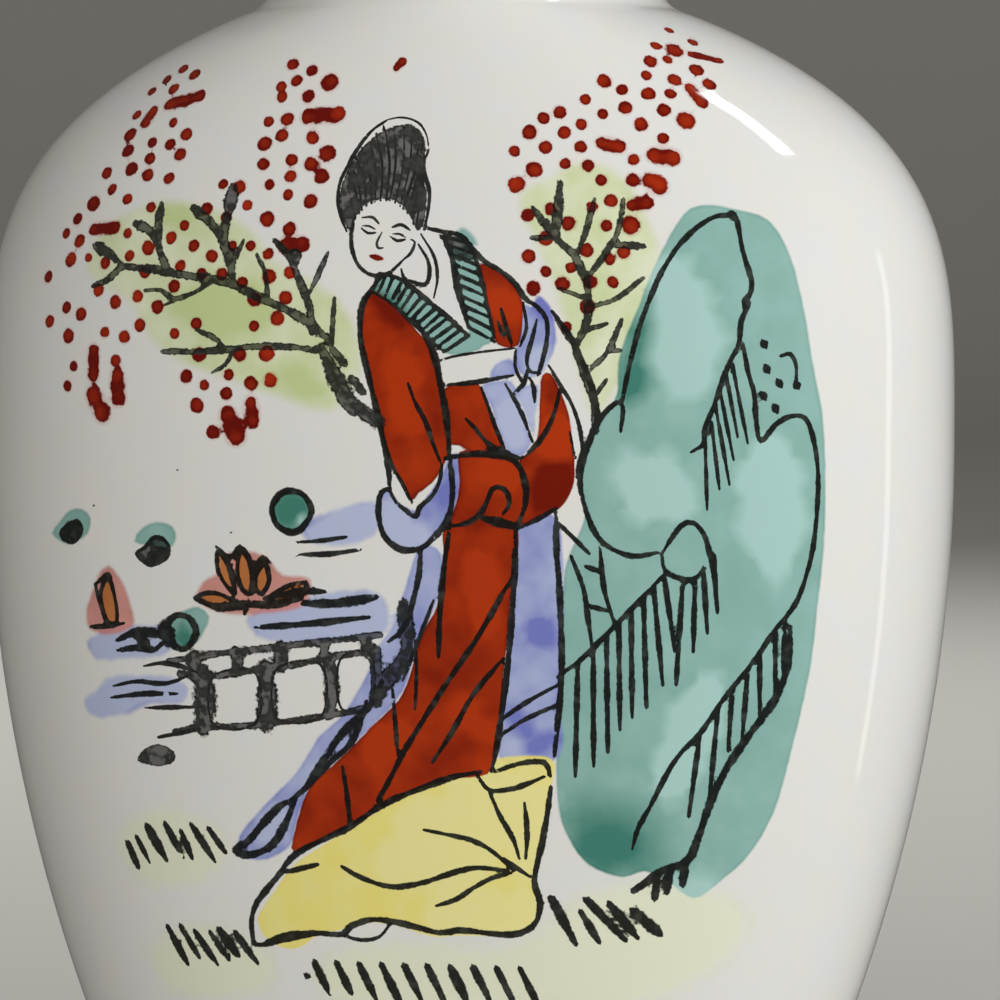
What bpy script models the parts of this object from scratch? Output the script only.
"""White porcelain snuff bottle, cast and fired as one hollow piece.

The body is a flattened oval with high round shoulders. It tapers to an oval foot ring, and a short
round neck with a flat lip stands on it. The wall follows the outside at an even thickness, and the
mouth is open.

Metres, +Z up, broad painted face towards -Y, origin on the table under the middle of the foot ring.
"""
import math

import bmesh
import bpy
import numpy as np

MM = 0.001

# Heights, from the table up, in millimetres
FOOT_RING_HEIGHT = 2.0
BELLY_DROP = 39.5
SHOULDER_RISE = 22.0
NECK_HEIGHT = 6.5

# Outside widths along X and depths along Y, in millimetres
BODY_WIDTH = 50.0
BODY_DEPTH = 28.0
BASE_WIDTH = 31.0
BASE_DEPTH = 17.6
FOOT_WIDTH = 28.6
FOOT_DEPTH = 15.4
NECK_DIAMETER = 19.6

# Wall, floor, ring and edge sizes, in millimetres
WALL = 2.8
FLOOR_THICKNESS = 3.2
FLOOR_CORNER_RADIUS = 4.0
FOOT_RING_THICKNESS = 2.3
FOOT_RECESS_DEPTH = 1.5
FOOT_EDGE_RADIUS = 0.35
BASE_CORNER_RADIUS = 1.1
NECK_FILLET_RADIUS = 2.0
LIP_RADIUS = 0.7

# Slope at which the shoulder runs into the fillet at the foot of the neck
SHOULDER_END_SLOPE = math.radians(22.0)

# Exponents of the curves: how full the shoulder is, how late the body tapers, how square a level is
SHOULDER_FULLNESS = 3.75
SHOULDER_SQUARENESS = 1.06
FACE_SHOULDER_FULLNESS = 2.2
FACE_SHOULDER_HOLLOW = 1.4
TAPER_POWER = 2.05
BODY_LEVEL_EXPONENT = 2.25
ROUND_EXPONENT = 2.0

# Mesh divisions
POINTS_AROUND = 52
PROFILE_SAMPLES = 400
LOWER_BODY_ROWS = 14
UPPER_BODY_ROWS = 16
INNER_ROWS = 20
EDGE_ROWS = 4

SHARP_EDGE_ANGLE = math.radians(35.0)
PORCELAIN_COLOUR = (0.86, 0.87, 0.86, 1.0)
PORCELAIN_ROUGHNESS = 0.12

WIDEST_LEVEL = FOOT_RING_HEIGHT + BELLY_DROP
NECK_LEVEL = WIDEST_LEVEL + SHOULDER_RISE
LIP_LEVEL = NECK_LEVEL + NECK_HEIGHT
NECK_FILLET_RISE = NECK_FILLET_RADIUS * math.cos(SHOULDER_END_SLOPE)
NECK_FILLET_REACH = NECK_FILLET_RADIUS * (1 - math.sin(SHOULDER_END_SLOPE))
FLOOR_LEVEL = FOOT_RING_HEIGHT + FLOOR_THICKNESS


def clear_scene():
    """Remove every object, so that the model starts from nothing."""
    for item in list(bpy.data.objects):
        bpy.data.objects.remove(item, do_unlink=True)


def taper(level, widest, base):
    """Half size below the widest level: a late, bowed taper from widest to base."""
    share = (WIDEST_LEVEL - level) / BELLY_DROP
    return widest - (widest - base) * share ** TAPER_POWER


def side_half_width(level):
    """Half width of the outside at a level above the foot ring, neck fillet and neck included."""
    neck_radius = NECK_DIAMETER / 2
    if level <= WIDEST_LEVEL:
        return taper(level, BODY_WIDTH / 2, BASE_WIDTH / 2)
    if level <= NECK_LEVEL:
        share = min((level - WIDEST_LEVEL) / SHOULDER_RISE, 1.0)
        shoulder_end = neck_radius + NECK_FILLET_REACH
        fullness = (1 - share ** SHOULDER_FULLNESS) ** (1 / SHOULDER_SQUARENESS)
        return shoulder_end + (BODY_WIDTH / 2 - shoulder_end) * fullness
    drop = max(NECK_LEVEL + NECK_FILLET_RISE - level, 0.0)
    return neck_radius + NECK_FILLET_RADIUS - math.sqrt(NECK_FILLET_RADIUS ** 2 - drop ** 2)


def face_half_depth(level):
    """Half depth of the outside at a level: the broad faces slope gently into the neck."""
    neck_radius = NECK_DIAMETER / 2
    if level <= WIDEST_LEVEL:
        return taper(level, BODY_DEPTH / 2, BASE_DEPTH / 2)
    share = min((level - WIDEST_LEVEL) / (SHOULDER_RISE + NECK_FILLET_RISE), 1.0)
    slope = (1 - share ** FACE_SHOULDER_FULLNESS) ** FACE_SHOULDER_HOLLOW
    return neck_radius + (BODY_DEPTH / 2 - neck_radius) * slope


def level_exponent(level):
    """Squareness of a level: fuller than an ellipse on the body, and round at the neck."""
    share = min(max((level - WIDEST_LEVEL) / SHOULDER_RISE, 0.0), 1.0)
    return BODY_LEVEL_EXPONENT + (ROUND_EXPONENT - BODY_LEVEL_EXPONENT) * share ** 2


def even_levels(low, high, count):
    """Levels from low to high, spaced evenly along the bottle's side and not along its height."""
    levels = np.linspace(low, high, PROFILE_SAMPLES)
    widths = np.array([side_half_width(level) for level in levels])
    steps = np.hypot(np.diff(levels), np.diff(widths))
    length = np.concatenate(([0.0], np.cumsum(steps)))
    return np.interp(np.linspace(0.0, length[-1], count), length, levels)


def offset_inwards(half_size):
    """The curve of half_size moved inwards by the wall, as a function of the level."""
    levels = even_levels(FOOT_RING_HEIGHT, LIP_LEVEL, PROFILE_SAMPLES)
    sizes = np.array([half_size(level) for level in levels])
    rise = np.gradient(levels)
    run = np.gradient(sizes)
    length = np.hypot(rise, run)
    inner_sizes = sizes - WALL * rise / length
    inner_levels = np.maximum.accumulate(levels + WALL * run / length)
    return lambda level: float(np.interp(level, inner_levels, inner_sizes))


def foot_rows():
    """Rows from the recess under the base, round the foot ring and up to where the body starts."""
    inner = FOOT_RING_THICKNESS
    edge = FOOT_EDGE_RADIUS
    insets = [
        (inner, FOOT_RECESS_DEPTH),
        (inner, edge),
        (inner - edge, 0.0),
        (edge, 0.0),
        (0.0, edge),
        (0.0, FOOT_RING_HEIGHT),
    ]
    rows = []
    for inset, level in insets:
        rows.append((FOOT_WIDTH / 2 - inset, FOOT_DEPTH / 2 - inset, level, BODY_LEVEL_EXPONENT))
    return rows


def base_corner_rows():
    """Rows of the small round corner where the body turns under to the foot ring."""
    rows = []
    radius = BASE_CORNER_RADIUS
    for step in range(EDGE_ROWS):
        angle = math.radians(90.0) * step / EDGE_ROWS
        level = FOOT_RING_HEIGHT + radius * (1 - math.cos(angle))
        inset = radius * (1 - math.sin(angle))
        half_width = side_half_width(level) - inset
        half_depth = face_half_depth(level) - inset
        rows.append((half_width, half_depth, level, BODY_LEVEL_EXPONENT))
    return rows


def outside_rows(low, high, count):
    """Rows of the outside between two levels, without the last one."""
    rows = []
    for level in even_levels(low, high, count + 1)[:-1]:
        rows.append((side_half_width(level), face_half_depth(level), level, level_exponent(level)))
    return rows


def neck_fillet_rows():
    """Rows of the hollow corner where the sloping shoulder turns up into the neck."""
    rows = []
    turn = math.radians(90.0) - SHOULDER_END_SLOPE
    for step in range(EDGE_ROWS + 1):
        angle = turn * (1 - step / EDGE_ROWS)
        level = NECK_LEVEL + NECK_FILLET_RISE - NECK_FILLET_RADIUS * math.sin(angle)
        rows.append((side_half_width(level), face_half_depth(level), level, ROUND_EXPONENT))
    return rows


def lip_rows():
    """Rows over the lip: round outer edge, flat top, round inner edge."""
    outer = NECK_DIAMETER / 2
    bore = outer - WALL
    rows = []
    for step in range(EDGE_ROWS + 1):
        angle = math.radians(90.0) * step / EDGE_ROWS
        inset = LIP_RADIUS * (1 - math.cos(angle))
        level = LIP_LEVEL - LIP_RADIUS * (1 - math.sin(angle))
        rows.append((outer - inset, outer - inset, level, ROUND_EXPONENT))
    for step in range(EDGE_ROWS, -1, -1):
        angle = math.radians(90.0) * step / EDGE_ROWS
        inset = LIP_RADIUS * (1 - math.cos(angle))
        level = LIP_LEVEL - LIP_RADIUS * (1 - math.sin(angle))
        rows.append((bore + inset, bore + inset, level, ROUND_EXPONENT))
    return rows


def inside_rows():
    """Rows down the inside, from under the lip to the floor, with a round corner at the floor."""
    inner_half_width = offset_inwards(side_half_width)
    inner_half_depth = offset_inwards(face_half_depth)
    top = NECK_LEVEL + NECK_FILLET_RISE
    rows = []
    for level in even_levels(FLOOR_LEVEL + FLOOR_CORNER_RADIUS, top, INNER_ROWS)[::-1]:
        rows.append((inner_half_width(level), inner_half_depth(level), level, level_exponent(level)))
    for step in range(1, EDGE_ROWS + 1):
        angle = math.radians(90.0) * step / EDGE_ROWS
        level = FLOOR_LEVEL + FLOOR_CORNER_RADIUS * (1 - math.sin(angle))
        inset = FLOOR_CORNER_RADIUS * (1 - math.cos(angle))
        half_width = inner_half_width(level) - inset
        half_depth = inner_half_depth(level) - inset
        rows.append((half_width, half_depth, level, BODY_LEVEL_EXPONENT))
    return rows


def level_ring(half_width, half_depth, level, exponent):
    """Points round one level, on a superellipse, in metres."""
    points = []
    for index in range(POINTS_AROUND):
        angle = math.tau * index / POINTS_AROUND
        across = math.copysign(abs(math.cos(angle)) ** (2 / exponent), math.cos(angle))
        along = math.copysign(abs(math.sin(angle)) ** (2 / exponent), math.sin(angle))
        points.append((half_width * across * MM, half_depth * along * MM, level * MM))
    return points


def loft(rows):
    """A closed mesh through the rows, in order, with a flat face on its first and last row."""
    shape = bmesh.new()
    rings = [[shape.verts.new(point) for point in level_ring(*row)] for row in rows]
    for lower, upper in zip(rings, rings[1:]):
        for index in range(POINTS_AROUND):
            after = (index + 1) % POINTS_AROUND
            shape.faces.new((lower[index], lower[after], upper[after], upper[index]))
    shape.faces.new(list(reversed(rings[0])))
    shape.faces.new(rings[-1])
    bmesh.ops.recalc_face_normals(shape, faces=shape.faces)
    mesh = bpy.data.meshes.new("jar_body")
    shape.to_mesh(mesh)
    shape.free()
    return mesh


def porcelain():
    """White glazed porcelain."""
    material = bpy.data.materials.new("white_glaze")
    material.use_nodes = True
    shader = material.node_tree.nodes["Principled BSDF"]
    shader.inputs["Base Color"].default_value = PORCELAIN_COLOUR
    shader.inputs["Roughness"].default_value = PORCELAIN_ROUGHNESS
    shader.inputs["Metallic"].default_value = 0.0
    return material


def make_jar_body():
    """The whole bottle: foot ring, body, neck, lip and the hollow inside."""
    body_start = FOOT_RING_HEIGHT + BASE_CORNER_RADIUS
    rows = foot_rows()
    rows += base_corner_rows()
    rows += outside_rows(body_start, WIDEST_LEVEL, LOWER_BODY_ROWS)
    rows += outside_rows(WIDEST_LEVEL, NECK_LEVEL, UPPER_BODY_ROWS)
    rows += neck_fillet_rows()
    rows += lip_rows()
    rows += inside_rows()
    mesh = loft(rows)
    mesh.shade_smooth()
    mesh.set_sharp_from_angle(angle=SHARP_EDGE_ANGLE)
    mesh.materials.append(porcelain())
    body = bpy.data.objects.new("jar_body", mesh)
    bpy.context.scene.collection.objects.link(body)
    return body


clear_scene()
make_jar_body()
